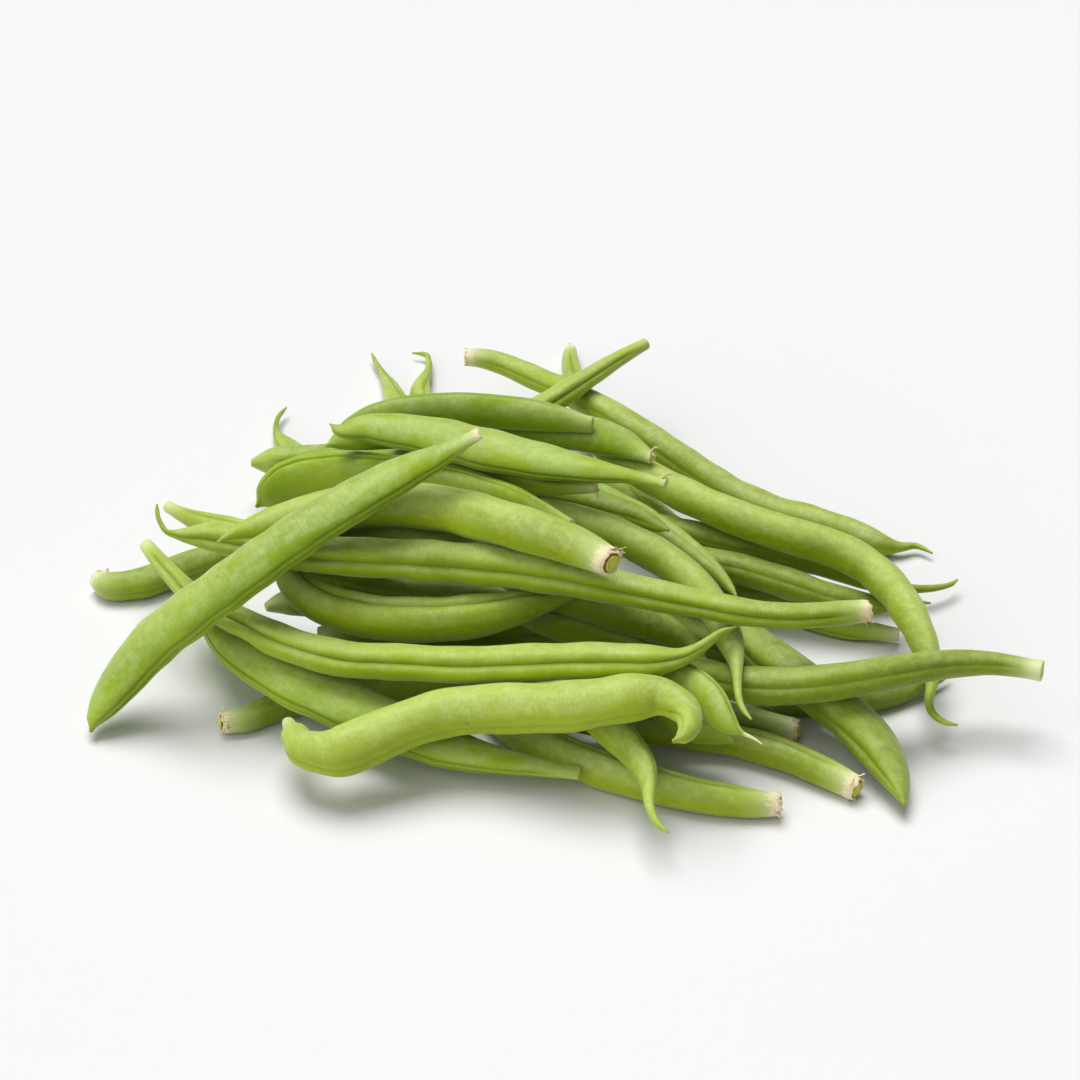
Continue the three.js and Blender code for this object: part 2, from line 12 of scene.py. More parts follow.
import bmesh
import bpy
import numpy as np
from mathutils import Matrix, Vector


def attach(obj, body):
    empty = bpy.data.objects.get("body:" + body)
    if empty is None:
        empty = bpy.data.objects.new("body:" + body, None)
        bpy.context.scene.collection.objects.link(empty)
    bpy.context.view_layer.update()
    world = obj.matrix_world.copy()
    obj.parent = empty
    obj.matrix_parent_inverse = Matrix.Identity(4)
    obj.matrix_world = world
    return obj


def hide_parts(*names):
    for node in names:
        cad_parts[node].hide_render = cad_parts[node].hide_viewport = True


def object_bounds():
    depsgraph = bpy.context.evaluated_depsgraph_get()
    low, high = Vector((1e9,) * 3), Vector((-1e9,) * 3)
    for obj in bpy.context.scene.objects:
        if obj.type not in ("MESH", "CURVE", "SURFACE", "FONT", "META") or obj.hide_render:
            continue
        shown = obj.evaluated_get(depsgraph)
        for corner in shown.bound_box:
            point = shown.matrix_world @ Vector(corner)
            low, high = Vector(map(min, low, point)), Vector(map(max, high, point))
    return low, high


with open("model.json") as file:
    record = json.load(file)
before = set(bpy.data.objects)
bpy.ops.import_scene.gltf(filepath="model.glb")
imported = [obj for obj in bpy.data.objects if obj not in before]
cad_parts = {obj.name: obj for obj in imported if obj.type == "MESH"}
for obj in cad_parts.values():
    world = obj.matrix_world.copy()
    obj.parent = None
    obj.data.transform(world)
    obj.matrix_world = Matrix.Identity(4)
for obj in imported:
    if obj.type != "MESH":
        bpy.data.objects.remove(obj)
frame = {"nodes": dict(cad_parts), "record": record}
cad_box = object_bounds()

MM = 0.001

LOW_CORNER = np.array(cad_box[0]) / MM
HIGH_CORNER = np.array(cad_box[1]) / MM

# Camera of the layout: its aim point on the surface, how far off it is in metres and how steeply it looks down
AIM = Vector((-1.63 * MM, 15.81 * MM, 0.0))
VIEW_DISTANCE = 0.650
VIEW_ELEVATION = math.radians(32)
LENS = 100.0
SENSOR = 36.0

# Surface that the heap lies on, in metres, and the lights over it: where from, strength, and width in the sky
FLOOR_REACH = 4.0
FLOOR_GREY = (0.72, 0.72, 0.72, 1)
TOP_LIGHT = ((-0.12, 0.34, 0.95), 3.2, 44)
FRONT_LIGHT = ((-0.75, -0.75, 0.8), 1.6, 80)
WORLD_STRENGTH = 0.06

# How the CAD sections are laid out: angle of each of a ring's points from the seam. Points of the node closer
# than the merge reach are one point
SECTION = np.radians([0, 20, 70, 125, 180, 235, 290, 340])
MERGE_REACH = 0.015

# Rows of the fine skin: steps along the body and near both ends
ROW_STEP = 0.8
END_STEP = 0.4
END_REACH = 5.0

# Angles of a row's points from the seam to the back of the pod, then the whole way round
HALF_TURN = np.array([
    0, 3, 6, 9, 12, 15.5, 19.5, 24, 29, 35, 43, 54,
    67, 80, 94, 108, 122, 136, 149, 160, 168, 174, 180.0,
])
THETA = np.radians(np.concatenate([HALF_TURN, -HALF_TURN[-2:0:-1]]))

# Seam on round pods: depths and heights as shares of the radius, places and widths round the pod in degrees
VALLEY_DEPTH = 0.13
VALLEY_WIDTH = 13
# A narrower dip in the valley's floor: its share of the valley and its width
FLOOR_DIP = (0.35, 5)
LIP_HEIGHT = 0.045
LIP = (32, 14)
# Line down the back of every pod, then the seam on flat pods: a ridge between two grooves
BACK_LINE = (0.022, 5)
FLAT_RIDGE = (0.012, 6)
FLAT_GROOVE_DEPTH = 0.05
FLAT_GROOVE = (11, 4.2)
# The seam opens over this stretch from the stem end, and where the pod is this deep from middle to seam
SEAM_OPENS = (2.5, 9)
SEAM_DEPTHS = (0.9, 2.4)

# Seeds: how far from both ends they start, their spacing, and the reach and height of a swelling
SEED_MARGIN = 14
SEED_SPACING = 12.5
SEED_REACH = 3.4
ROUND_SWELLING = 0.028
FLAT_SWELLING = 0.055
# They show where the pod is this deep
SEED_DEPTHS = (1.8, 3)

# Slow changes along a pod are three waves, with these shares of the longest
WAVES = (1, 0.53, 0.31)
# Longest wave and strength for the seam's depth, the girth, and the turn of a slight lump in the section
SEAM_WANDER = (23, 0.3)
GIRTH_WANDER = (31, 0.012)
LUMP_WANDER = (40, 3)
LUMP = 0.008
LUMP_DEPTHS = (1.2, 2.5)

# A dried tail narrows between these distances from the tip
SLIM_STRETCH = (7, 4)
# Every tip tapers by a share over its last stretch
TIP_TAPER = 0.45
TIP_STRETCH = 2.6
# Closed tail tip: share of the radius, then how far it stands out, in tip radii
TIP = [(0.94, 0.25), (0.80, 0.5), (0.60, 0.7), (0.35, 0.82)]

# Cut stem face from the rim inward: share of the radius, then how far it stands out in stem radii,
# on a plain end and on one whose core stands out of a brown ring
CUT_FACE = [
    (0.985, 0.03, 0.05), (0.95, 0.05, 0.10), (0.90, 0.06, 0.12), (0.84, 0.05, 0.09), (0.78, 0.03, 0.01),
    (0.73, 0.0, -0.09), (0.70, -0.02, -0.11), (0.68, -0.02, 0.0), (0.665, -0.02, 0.12), (0.635, -0.01, 0.20),
    (0.57, 0.0, 0.24), (0.45, 0.01, 0.22), (0.30, 0.015, 0.19), (0.15, 0.02, 0.19),
]
# Share of the radius where the torn edge has faded out of the face, and the band that it fades over
LIP_INNER = 0.7
LIP_BAND = 0.2
# Inside this share of the radius the face's rows are a little ragged
WOBBLE_INSIDE = 0.97
FACE_WOBBLE = 0.03

# Stem ends: a plain one flares toward the cut
PAPERY_FROM = 0.3
FLARE = 0.07
FLARE_REACH = 1.6
# A papery one swells unevenly, most at the collar's place, and fades out over the same distance
COLLAR_SWELL = 0.05
COLLAR_PLACE = 0.9
COLLAR_LOBES = 5
COLLAR_UNEVEN = 0.6
# Its rim is torn in waves of this many lobes round it, which die out over this reach from the cut
TEAR_LOBES = (1, 3, 5, 8)
TEAR_DEPTH = 0.17
TEAR_REACH = 0.8

# Torn shreds on a rim: points along and across, thickness, and how the width narrows to the tip, as an angle
SHRED_STEPS = 9
SHRED_COLUMNS = 5
SHRED_THICK = 0.07
SHRED_TAPER = 1.6
SHRED_TIP = 0.02
# How far a shred stands off the skin and curls out, as shares of the radius
SHRED_GAP = 0.035
SHRED_CURL = 0.45
# How far behind the stem's end its root lies, how uneven its tip is, and a share that both are scaled by
SHRED_ROOT = 0.8
SHRED_UNEVEN = 0.25
SHRED_SCALE = 0.9
# Half width of a stem below which a shred's thickness shrinks no more, and the lowest height of a shred
SHRED_HALF = 0.6
SHRED_LOW = 0.02

# Dry scraps: rings along one, sides of a ring, and the radius at its start and end
SCRAP_RINGS = 18
SCRAP_SIDES = 8
SCRAP_RADII = (0.3, 0.13)
# A direction that no scrap runs in, which the first side of its rings is set from
SCRAP_SIDEWAYS = (0.3, 1.0, 0.2)

# Stem ends by pod: how papery the collar is, how brown its ring, how many torn shreds hang on it
STEMS = {
    "pod_cut_face": (1.0, 0.9, 7),
    "pod_front_cut": (0.9, 1.0, 4),
    "pod_right_cut": (0.8, 0.55, 4),
    "pod_front_low": (0.6, 1.0, 3),
    "pod_shaded_cut": (0.5, 1.0, 2),
    "pod_long_upper": (0.75, 0.35, 3),
    "pod_back_long": (0.85, 0.5, 3),
    "pod_back_upright": (0.85, 0.3, 2),
    "pod_left_low": (0.7, 1.0, 4),
    "pod_right_reach": (0.2, 0.0, 0),
    "pod_right_stub": (0.4, 0.0, 2),
    "pod_top_diagonal": (0.45, 0.1, 3),
    "pod_top_short": (0.35, 0.1, 2),
    "pod_top_long": (0.3, 0.1, 1),
    "pod_top_back": (0.3, 0.1, 1),
}
PLAIN_STEM = (0.15, 0.0, 0)

# How dry the tail's last stretch is
DRY_TAILS = {
    "pod_papery_tail": 1.0,
    "pod_top_diagonal": 0.16,
    "pod_back_tail_left": 0.2,
    "pod_long_lower": 0.12,
}
FRESH_TAIL = 0.0

# Share of its CAD width that a dried tail keeps
SLIM_TAILS = {"pod_papery_tail": 0.5}
FULL_TAIL = 1

# Knee where a pod folds over near its stem end: place along the pod, reach, and share that it grows by
KNEES = {"pod_front_thick": (4.9, 1.8, 0.4)}
NO_KNEE = (0, 1, 0)

# How far the last stretch of the neck fades to white
PALE_NECKS = {"pod_right_reach": 1.0, "pod_back_cross": 0.2, "pod_top_diagonal": 0.6}
COMMON_NECK = 0.7
FLAT_NECK = 0.15

# How deep the seam's valley is on round pods, as a share of the deepest
SEAMS = {
    "pod_long_upper": 1.0,
    "pod_long_lower": 1.0,
    "pod_curved": 0.9,
    "pod_back_cross": 0.8,
    "pod_right_cut": 0.5,
    "pod_front_thick": 0.4,
    "pod_back_long": 0.35,
    "pod_right_tail": 0.3,
    "pod_right_mid": 0.35,
    "pod_right_inner": 0.4,
    "pod_base_back": 0.35,
}
COMMON_SEAM = 0.6
FLAT_SEAM = 1.0

# Dry scraps that hang on a pod's stem end: steps from the end to the right, back and up
SCRAPS = {
    "pod_top_back": [(-0.4, 0, 0), (-0.2, 0, 1.2), (0.1, 0, 2.3), (0.8, 0, 2.8), (1.2, 0, 2.5)],
    "pod_top_short": [(-0.4, -0.5, 1.3), (0.1, -0.9, 0.2), (0.3, -1.0, -1.4), (0.1, -1.1, -2.6)],
    "pod_top_long": [(-0.8, 0.4, 0.9), (0.2, 0.8, 1.6), (1.0, 1.0, 1.3)],
}

# How far a pod's own tint goes to the pale or the deep green
TINT_REACH = 0.7


def srgb(r, g, b):
    """A display colour in 0 to 255 as the linear colour that a shader takes."""
    shares = (r / 255, g / 255, b / 255)
    return tuple(c / 12.92 if c <= 0.04045 else ((c + 0.055) / 1.055) ** 2.4 for c in shares) + (1.0,)


# Skin colours by material slot. The pale bloom colour is also painted as a highlight on up-facing sides.
# line_offset is how far from the middle of the seam its dark line runs, and wipe is how much of the pale bloom
# and its painted highlight is rubbed off in patches
SKIN_LOOKS = {
    "pod_light": SimpleNamespace(
        name="bean_light", main=srgb(156, 177, 2), pale=srgb(176, 195, 34), deep=srgb(134, 154, 0),
        frost_and_highlight=srgb(198, 213, 158), line_offset=0.0, wipe=0.55,
    ),
    "pod_deep": SimpleNamespace(
        name="bean_deep", main=srgb(135, 156, 0), pale=srgb(154, 175, 18), deep=srgb(108, 127, 0),
        frost_and_highlight=srgb(180, 197, 128), line_offset=0.0, wipe=0.6,
    ),
    "pod_flat": SimpleNamespace(
        name="bean_flat", main=srgb(148, 174, 2), pale=srgb(166, 190, 38), deep=srgb(125, 153, 0),
        frost_and_highlight=srgb(192, 208, 152), line_offset=0.72, wipe=0.9,
    ),
}
# How strongly the pale bloom shows; on the sides that face up it is also a painted highlight
BLOOM_AND_HIGHLIGHT = 0.6

# Green of the seam's valley: partly its own colour, partly painted shade in the groove
VALLEY_GREEN_AND_SHADE = srgb(118, 146, 4)
LINE_GREEN = srgb(92, 118, 0)
SPOT_BROWN = srgb(134, 124, 52)
NECK_GREEN = srgb(205, 218, 142)
NECK_WHITE = srgb(226, 230, 186)
TAIL_GREEN = srgb(160, 186, 70)
DRY = srgb(142, 118, 44)
CREAM = srgb(236, 222, 184)
TAN = srgb(196, 160, 110)
PALE_TAN = srgb(214, 188, 140)
BROWN = srgb(138, 82, 34)
PITH = srgb(204, 210, 62)
PITH_HEART = srgb(228, 230, 120)
SHEEN_TINT = srgb(232, 244, 210)

# Places in millimetres where a colour starts to show and where it is full. Noise moves most of them a little
SEAM_TINT = (3.0, 10.0)
VALLEY_TINT = (1.0, 0.15)
LINE_TINT = (0.3, 0.05)
NECK_TINT = (10.5, 3.5)
WHITE_TINT = (4.4, 0.3)
TAIL_TINT = (13.0, 4.0)
DRY_TINT = (1.2, -0.3)
COLLAR_TINT = (-1.6, -3.1)
SCORCH_TINT = (0.5, 0.05)

# The same round the middle of a spot, in cells of the spot pattern
SPOT_TINT = (0.055, 0.03)

# The same on a cut face, as shares of the way in from the rim
CUT_TINT = (0.004, 0.03)
HEART_TINT = (0.5, 0.95)
LIP_TINT = (0.27, 0.22)
RING_OUTER = (0.21, 0.27)
RING_INNER = (0.38, 0.33)


def random_for(name):
    return np.random.default_rng(zlib.crc32(name.encode()))


def smoothstep(x, low, high):
    t = np.clip((x - low) / (high - low), 0, 1)
    return t * t * (3 - 2 * t)


def bell(x, place, reach):
    """A smooth bump of height 1 at the place."""
    return np.exp(-(((x - place) / reach) ** 2))


def unit(v):
    return v / np.linalg.norm(v, axis=-1, keepdims=True)


def spline(knots, values, at):
    """Smooth curve through the values at the knots."""
    slopes = np.gradient(values, knots, axis=0)
    k = np.clip(np.searchsorted(knots, at, side="right") - 1, 0, len(knots) - 2)
    span = knots[k + 1] - knots[k]
    t = (at - knots[k]) / span
    if values.ndim > 1:
        t, span = t[:, None], span[:, None]
    t2, t3 = t * t, t * t * t
    return (
        (2 * t3 - 3 * t2 + 1) * values[k]
        + (t3 - 2 * t2 + t) * span * slopes[k]
        + (3 * t2 - 2 * t3) * values[k + 1]
        + (t3 - t2) * span * slopes[k + 1]
    )


def wander(s, random, reach, strength):
    """Slow irregular change along the pod: three waves, the longest with the given reach."""
    total = np.zeros_like(s)
    for share in WAVES:
        total += np.sin(s / (reach * share) * 2 * math.pi + random.uniform(0, 7)) * random.uniform(0.3, 1)
    return total * strength / 2


def ring_order(ring, neighbours):
    """The points of one ring, going round."""
    inside = set(ring)
    order = [ring[0]]
    while len(order) < len(ring):
        order.append(next(n for n in neighbours[order[-1]] if n in inside and n not in order))
    return order


def cad_points(name):
    """Points of a CAD pod in millimetres, and each point's neighbours along its edges."""
    bm = bmesh.new()
    bm.from_mesh(frame["nodes"][name].data)
    bmesh.ops.remove_doubles(bm, verts=bm.verts, dist=MERGE_REACH * MM)
    bm.verts.index_update()
    points = np.array([v.co[:] for v in bm.verts]) / MM
    neighbours = [[e.other_vert(v).index for e in v.link_edges] for v in bm.verts]
    bm.free()
    return points, neighbours


def rings_from_pole(neighbours, sides):
    """Rings of point numbers, counted outward from one of the two end points."""
    pole = next(i for i, around in enumerate(neighbours) if len(around) == sides)
    seen = {pole}
    level = [pole]
    rings = []
    while True:
        level = sorted({n for i in level for n in neighbours[i]} - seen)
        if len(level) < sides:
            return rings
        seen.update(level)
        rings.append(level)


def read_rings(name):
    """Centre, seam axis and side axis of each section of a CAD pod, from the stem end to the tail."""
    points, neighbours = cad_points(name)
    sides = len(SECTION)
    rings = rings_from_pole(neighbours, sides)
    mids = np.array([points[r].mean(axis=0) for r in rings])
    ahead = np.gradient(mids, axis=0)
    # An ellipse is fitted to each ring without its seam point, which the node's groove sets in
    fit = np.linalg.pinv(np.column_stack([np.ones(sides - 1), np.cos(SECTION[1:]), np.sin(SECTION[1:])]))
    sections = []
    for ring, mid, direction in zip(rings, mids, ahead):
        around = points[ring_order(ring, neighbours)]
        # The seam point lies between the two shortest edges of its ring
        edge = np.linalg.norm(np.roll(around, -1, axis=0) - around, axis=1)
        seam = int(np.argmin(edge + np.roll(edge, 1)))
        around = np.roll(around, -seam, axis=0)
        side = np.cross(direction, around[0] - mid)
        if (around[2] - mid) @ side < 0:
            around = np.roll(around[::-1], 1, axis=0)
        sections.append(fit @ around[1:])
    centre, seam_axis, side_axis = (np.array([s[k] for s in sections]) for k in range(3))
    size = np.linalg.norm(seam_axis, axis=1)
    if size[0] < size[-1]:
        centre, seam_axis, side_axis = centre[::-1], seam_axis[::-1], -side_axis[::-1]
    return centre, seam_axis, side_axis


def row_places(length):
    """Distances of the rows from the stem end: closer together near both ends."""
    ends = np.arange(0, END_REACH, END_STEP)
    body = np.linspace(END_REACH, length - END_REACH, max(2, round((length - 2 * END_REACH) / ROW_STEP)))
    return np.concatenate([ends, body, length - ends[::-1]])


def seed_bumps(s, length, random):
    """Swelling over the seeds, between 0 and 1, at slightly uneven places along the pod."""
    total = np.zeros_like(s)
    place = SEED_MARGIN + random.uniform(0, 6)
    while place < length - SEED_MARGIN:
        total += bell(s, place, SEED_REACH)
        place += SEED_SPACING * random.uniform(0.85, 1.15)
    return total


def seam_profile(degrees, flat):
    """Change of radius round a pod: a valley between two lips, or on flat pods a ridge between grooves."""
    back_height, back_width = BACK_LINE
    back_line = back_height * bell(degrees, 180, back_width)
    if flat:
        ridge_height, ridge_width = FLAT_RIDGE
        ridge = ridge_height * bell(degrees, 0, ridge_width)
        return ridge - FLAT_GROOVE_DEPTH * bell(degrees, *FLAT_GROOVE) - back_line
    dip_share, dip_width = FLOOR_DIP
    valley = bell(degrees, 0, VALLEY_WIDTH) + dip_share * bell(degrees, 0, dip_width)
    return LIP_HEIGHT * bell(degrees, *LIP) - VALLEY_DEPTH * valley - back_line


def girth(name, s, length):
    """Share of its CAD size that a pod has along its length: slimmer at the tail, thicker at a knee."""
    slim = 1 - (1 - SLIM_TAILS.get(name, FULL_TAIL)) * smoothstep(length - s, *SLIM_STRETCH)
    slim = slim * (1 - TIP_TAPER * smoothstep(length - s, TIP_STRETCH, 0))
    place, reach, growth = KNEES.get(name, NO_KNEE)
    return slim * (1 + growth * bell(s, place, reach))


def skin_shape(s, length, depth, flat, seam_share, random):
    """Share of the plain section's radius at every point: seam, seeds and slight unevenness."""
    turn = np.degrees(np.abs(THETA)[None, :])
    open_seam = seam_share * smoothstep(s, *SEAM_OPENS) * smoothstep(depth, *SEAM_DEPTHS)
    uneven = 1 + wander(s, random, *SEAM_WANDER)
    shape = 1 + (open_seam * uneven)[:, None] * seam_profile(turn, flat)
    seeds = seed_bumps(s, length, random) * smoothstep(depth, *SEED_DEPTHS)
    swelling = FLAT_SWELLING if flat else ROUND_SWELLING
    shape = shape + swelling * seeds[:, None] * np.sin(THETA)[None, :] ** 2
    shape = shape * (1 + wander(s, random, *GIRTH_WANDER))[:, None]
    lump = np.sin(THETA[None, :] * 2 + wander(s, random, *LUMP_WANDER)[:, None])
    return shape * (1 + LUMP * lump * smoothstep(depth, *LUMP_DEPTHS)[:, None])


def body_rows(name, rings, flat, seam_share):
    """Rows of skin points from the stem end to the tail, with each row's centre, axes, size and distance."""
    random = random_for(name)
    centre, seam_axis, side_axis = rings
    knots = np.concatenate([[0], np.cumsum(np.linalg.norm(np.diff(centre, axis=0), axis=1))])
    length = knots[-1]
    s = row_places(length)
    mid = spline(knots, centre, s)
    along = unit(np.gradient(mid, s, axis=0))
    deep = spline(knots, seam_axis, s)
    broad = spline(knots, side_axis, s)
    share = girth(name, s, length)
    depth = np.linalg.norm(deep, axis=1) * share
    half = np.linalg.norm(broad, axis=1) * share
    normal = unit(deep - along * np.sum(deep * along, axis=1, keepdims=True))
    across = np.cross(along, normal)
    across *= np.sign(np.sum(across * broad, axis=1, keepdims=True))
    shape = skin_shape(s, length, depth, flat, seam_share, random)
    points = (
        mid[:, None, :]
        + (depth[:, None] * shape * np.cos(THETA)[None, :])[..., None] * normal[:, None, :]
        + (half[:, None] * shape * np.sin(THETA)[None, :])[..., None] * across[:, None, :]
    )
    return SimpleNamespace(
        points=points, mid=mid, along=along, normal=normal, across=across,
        depth=depth, half=half, s=s, length=length, random=random, torn=np.zeros(len(THETA)),
    )


def grow_rows(rows, share):
    """Moves the skin points out from the middle by a share."""
    middle = rows.mid[:, None, :]
    rows.points = middle + (rows.points - middle) * share


def collar(rows, papery, random):
    """Flares a plain stem end, or swells a papery one unevenly and tears its edge."""
    if papery < PAPERY_FROM:
        grow_rows(rows, 1 + FLARE * bell(rows.s, 0, FLARE_REACH)[:, None, None])
        return
    near = bell(rows.s, COLLAR_PLACE, COLLAR_PLACE)[:, None]
    uneven = 1 + COLLAR_UNEVEN * np.sin(THETA * COLLAR_LOBES + rows.random.uniform(0, 6))[None, :]
    grow_rows(rows, (1 + COLLAR_SWELL * papery * near * uneven)[..., None])
    for lobes in TEAR_LOBES:
        rows.torn += TEAR_DEPTH * papery * np.sin(lobes * THETA + random.uniform(0, 6))
    tear = np.exp(-rows.s / TEAR_REACH)[:, None] * rows.torn[None, :]
    rows.points = rows.points - tear[..., None] * rows.along[0]


def end_rows(rows, index, outward, profile, torn):
    """Rows that close one end, and the end's centre point."""
    mid = rows.mid[index]
    out = rows.along[index] * outward
    radius = math.sqrt(rows.depth[index] * rows.half[index])
    rim = rows.points[index] - mid
    ragged = rows.random.uniform(-1, 1, len(rim))
    ragged = (ragged + np.roll(ragged, 1) + np.roll(ragged, -1)) / 3
    rim = rim - torn[:, None] * out
    made = []
    for share, stand in profile:
        wobble = 1 + FACE_WOBBLE * ragged[:, None] * (share < WOBBLE_INSIDE)
        lip = torn[:, None] * min(1, max(0, (share - LIP_INNER) / LIP_BAND))
        made.append(mid + rim * share * wobble + out * (stand * radius + lip))
    return made, mid + out * profile[-1][1] * radius


def tube_faces(count, sides):
    """Faces of a closed tube: quads between its rings and a fan at each end. The two end points come last."""
    r, i = np.meshgrid(np.arange(count - 1), np.arange(sides), indexing="ij")
    j = (i + 1) % sides
    quads = np.stack([r * sides + i, r * sides + j, (r + 1) * sides + j, (r + 1) * sides + i], axis=-1)
    stem_pole, tip_pole = count * sides, count * sides + 1
    k = np.arange(sides)
    stem_fan = np.stack([np.full(sides, stem_pole), (k + 1) % sides, k], axis=-1)
    base = (count - 1) * sides
    tip_fan = np.stack([np.full(sides, tip_pole), base + k, base + (k + 1) % sides], axis=-1)
    return quads.reshape(-1, 4).tolist() + stem_fan.tolist() + tip_fan.tolist()


def point_values(columns, shape, poles):
    """Three values for every point of the rings, then those of the two end points."""
    values = np.stack([np.broadcast_to(column, shape) for column in columns], axis=-1)
    return np.concatenate([values.reshape(-1, 3), poles])


def pod_mesh(rows, traits, nature):
    """Points and faces of one closed pod, and the values that its skin material reads at each point."""
    cut = [(share, plain + (standing - plain) * traits[1]) for share, plain, standing in CUT_FACE]
    stem_made, stem_pole = end_rows(rows, 0, -1, cut, rows.torn)
    tip_made, tip_pole = end_rows(rows, -1, 1, TIP, np.zeros(len(THETA)))
    grid = np.concatenate([np.array(stem_made[::-1]), rows.points, np.array(tip_made)])
    count, sides = grid.shape[:2]
    points = np.concatenate([grid.reshape(-1, 3), [stem_pole, tip_pole]])
    points[:, 2] = np.maximum(points[:, 2], 0.0)

    radius = np.sqrt(rows.depth * rows.half)
    s = np.concatenate([np.zeros(len(stem_made)), rows.s, np.full(len(tip_made), rows.length)])
    size = np.concatenate([np.full(len(stem_made), radius[0]), radius, np.full(len(tip_made), radius[-1])])
    face_in = np.concatenate([1 - np.array([p[0] for p in cut[::-1]]), np.zeros(len(rows.s) + len(tip_made))])
    seed = rows.random.uniform(0, 500)
    shape = (count, sides)
    round_pod = size[:, None] * THETA[None, :]
    from_tail = (rows.length - s)[:, None]
    values = {
        # Distance round the pod from the seam, distance along it, and a number of the pod's own
        "skin": point_values((round_pod, s[:, None], seed), shape, [[0, 0, seed], [0, rows.length, seed]]),
        # Distance from the stem end and from the tail, and the share of the way in on the cut face
        "ends": point_values(
            (s[:, None], from_tail, face_in[:, None]), shape, [[0, rows.length, 1], [rows.length, 0, 0]]
        ),
        "traits": np.tile(traits, (len(points), 1)),
        "nature": np.tile(nature, (len(points), 1)),
    }
    return points, tube_faces(count, sides), values


def strip_faces(steps, cols):
    """Faces of a thin closed strip: an upper and a lower sheet of points, joined along their border."""
    lower = steps * cols
    faces = []
    for a in range(steps - 1):
        for b in range(cols - 1):
            p = a * cols + b
            faces.append([p, p + 1, p + cols + 1, p + cols])
            faces.append([lower + p, lower + p + cols, lower + p + cols + 1, lower + p + 1])
    border = list(range(cols))
    border += [a * cols + cols - 1 for a in range(1, steps)]
    border += [(steps - 1) * cols + b for b in range(cols - 2, -1, -1)]
    border += [a * cols for a in range(steps - 2, 0, -1)]
    for p, q in zip(border, border[1:] + border[:1]):
        faces.append([q, p, lower + p, lower + q])
    return faces


def shred(rows, papery):
    """One torn papery shred on the rim of a stem: a thin closed strip that curls outward."""
    random = rows.random
    at = random.uniform(-math.pi, math.pi)
    wide = random.uniform(0.25, 0.55)
    long = random.uniform(0.9, 2.6) * papery
    curl = random.uniform(0.3, 1.3)
    lean = random.uniform(-0.5, 0.5)
    depth, half = rows.depth[1], rows.half[1]
    normal, across, out = rows.normal[1], rows.across[1], -rows.along[0]
    sheets = []
    for under in (0, 1):
        sheet = np.zeros((SHRED_STEPS, SHRED_COLUMNS, 3))
        for a, t in enumerate(np.linspace(0, 1, SHRED_STEPS)):
            narrow = wide * (1 - t ** SHRED_TAPER) + SHRED_TIP
            for b, c in enumerate(np.linspace(-1, 1, SHRED_COLUMNS)):
                angle = at + narrow * c + lean * t
                radial = math.cos(angle) * normal * depth + math.sin(angle) * across * half
                lift = 1.0 + SHRED_GAP + curl * SHRED_CURL * t * t - under * SHRED_THICK / max(half, SHRED_HALF)
                back = SHRED_ROOT - long * t + SHRED_UNEVEN * math.sin(c * 2 + at) * t
                sheet[a, b] = rows.mid[1] + radial * lift - out * back * SHRED_SCALE
        sheets.append(sheet.reshape(-1, 3))
    points = np.concatenate(sheets)
    points[:, 2] = np.maximum(points[:, 2], SHRED_LOW)
    return points, strip_faces(SHRED_STEPS, SHRED_COLUMNS)


def scrap(start, steps):
    """A thin dry strand: a tapered tube along the steps from the pod's end."""
    knots = np.arange(len(steps), dtype=float)
    at = np.linspace(0, knots[-1], SCRAP_RINGS)
    path = start + spline(knots, np.array(steps, dtype=float), at)
    along = unit(np.gradient(path, axis=0))
    side = unit(np.cross(along, SCRAP_SIDEWAYS))
    up = np.cross(side, along)
    turn = np.radians(np.arange(0, 360, 360 / SCRAP_SIDES))
    wheel = np.cos(turn)[None, :, None] * side[:, None] + np.sin(turn)[None, :, None] * up[:, None]
    rings = path[:, None] + np.linspace(*SCRAP_RADII, SCRAP_RINGS)[:, None, None] * wheel
    faces = []
    for r in range(SCRAP_RINGS - 1):
        here, ahead = r * SCRAP_SIDES, (r + 1) * SCRAP_SIDES
        for i in range(SCRAP_SIDES):
            j = (i + 1) % SCRAP_SIDES
            faces.append([here + i, here + j, ahead + j, ahead + i])
    last = (SCRAP_RINGS - 1) * SCRAP_SIDES
    faces += [list(range(SCRAP_SIDES))[::-1], list(range(last, last + SCRAP_SIDES))]
    return rings.reshape(-1, 3), faces


def add_attribute(mesh, name, values):
    layer = mesh.attributes.new(name, "FLOAT_VECTOR", "POINT")
    layer.data.foreach_set("vector", np.ascontiguousarray(values, dtype=np.float32).ravel())


def make_object(name, points, faces, material):
    """A smooth mesh object, kept inside the CAD box."""
    points = np.clip(points, LOW_CORNER, HIGH_CORNER)
    mesh = bpy.data.meshes.new(name)
    mesh.from_pydata((points * MM).tolist(), [], faces)
    mesh.update()
    bm = bmesh.new()
    bm.from_mesh(mesh)
    bmesh.ops.recalc_face_normals(bm, faces=bm.faces)
    bm.to_mesh(mesh)
    bm.free()
    mesh.shade_smooth()
    mesh.materials.append(material)
    obj = bpy.data.objects.new(name, mesh)
    bpy.context.scene.collection.objects.link(obj)
    return obj


